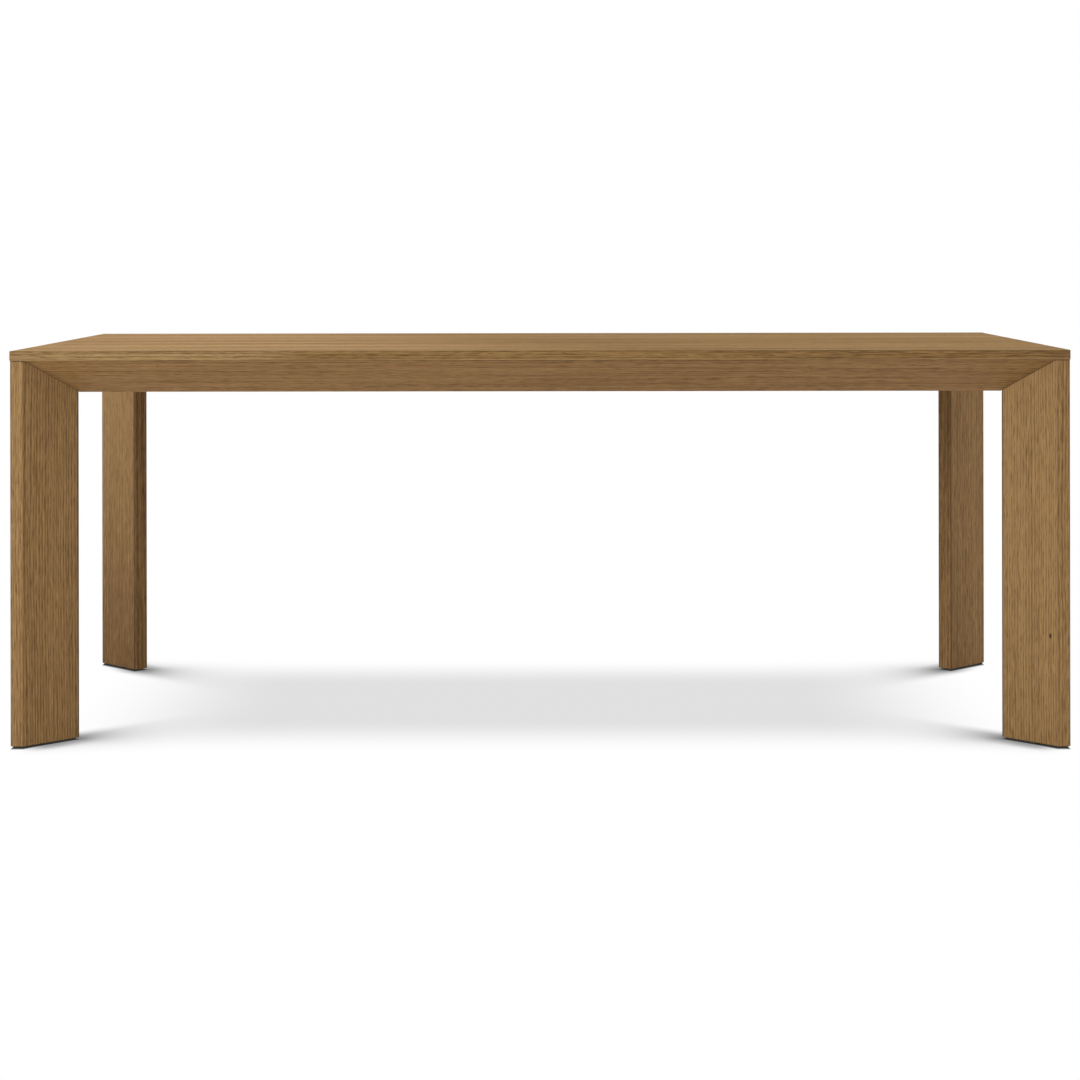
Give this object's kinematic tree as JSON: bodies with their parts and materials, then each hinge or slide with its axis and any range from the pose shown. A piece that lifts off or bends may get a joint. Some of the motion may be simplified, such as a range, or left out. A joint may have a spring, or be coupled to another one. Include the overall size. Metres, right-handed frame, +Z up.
{
  "type": "dining table",
  "caption": "Rectangular oak dining table with a thin top over a sloping apron and plank legs set on the diagonals of its corners, on screw-in levelling feet.",
  "frame": {"origin": "on the floor, under the middle of the top", "axes": "+X along the table's length, -Y to the front, +Z up"},
  "size_m": [2, 0.95, 0.75],
  "materials": {
    "oak_top": "satin lacquer",
    "oak_lipping": "satin lacquer",
    "oak_fascia": "satin lacquer",
    "oak_leg": "satin lacquer",
    "backing_oak": "sealed",
    "core_board": "raw board",
    "beech": "sealed",
    "zinc_steel": "bright zinc plate",
    "nylon": "moulded"
  },
  "bodies": {
    "table": {"top_core": "core_board", "top_veneer": "oak_top", "backing_veneer": "backing_oak", "lipping_front": "oak_lipping", "fascia_front": "oak_fascia", "inner_rail_front": "beech", "lipping_right": "oak_lipping", "fascia_right": "oak_fascia", "inner_rail_right": "beech", "lipping_back": "oak_lipping", "fascia_back": "oak_fascia", "inner_rail_back": "beech", "lipping_left": "oak_lipping", "fascia_left": "oak_fascia", "inner_rail_left": "beech", "cross_rail_left": "beech", "cross_rail_right": "beech", "cross_rail_dowels": "beech", "corner_block_front_left": "beech", "corner_block_front_right": "beech", "corner_block_back_right": "beech", "corner_block_back_left": "beech", "leg_front_left_front_board": "oak_leg", "leg_front_left_end_board": "oak_leg", "leg_front_right_front_board": "oak_leg", "leg_front_right_end_board": "oak_leg", "leg_back_right_back_board": "oak_leg", "leg_back_right_end_board": "oak_leg", "leg_back_left_back_board": "oak_leg", "leg_back_left_end_board": "oak_leg", "leg_bolts": "zinc_steel", "leg_bolt_washers": "zinc_steel", "leg_inserts": "zinc_steel", "top_brackets": "zinc_steel", "bracket_screws": "zinc_steel", "corner_block_screws": "zinc_steel", "foot_inserts": "zinc_steel"},
    "foot_front_left": {"foot_pad_front_left": "nylon", "foot_stem_front_left": "zinc_steel"},
    "foot_front_right": {"foot_pad_front_right": "nylon", "foot_stem_front_right": "zinc_steel"},
    "foot_back_right": {"foot_pad_back_right": "nylon", "foot_stem_back_right": "zinc_steel"},
    "foot_back_left": {"foot_pad_back_left": "nylon", "foot_stem_back_left": "zinc_steel"}
  },
  "joints": [
    {"name": "foot_front_left_height", "type": "slide", "parent": "table", "child": "foot_front_left", "axis": [0, 0, -1], "range_m": [0, 0.01]},
    {"name": "foot_front_right_height", "type": "slide", "parent": "table", "child": "foot_front_right", "axis": [0, 0, -1], "range_m": [0, 0.01]},
    {"name": "foot_back_right_height", "type": "slide", "parent": "table", "child": "foot_back_right", "axis": [0, 0, -1], "range_m": [0, 0.01]},
    {"name": "foot_back_left_height", "type": "slide", "parent": "table", "child": "foot_back_left", "axis": [0, 0, -1], "range_m": [0, 0.01]}
  ]
}
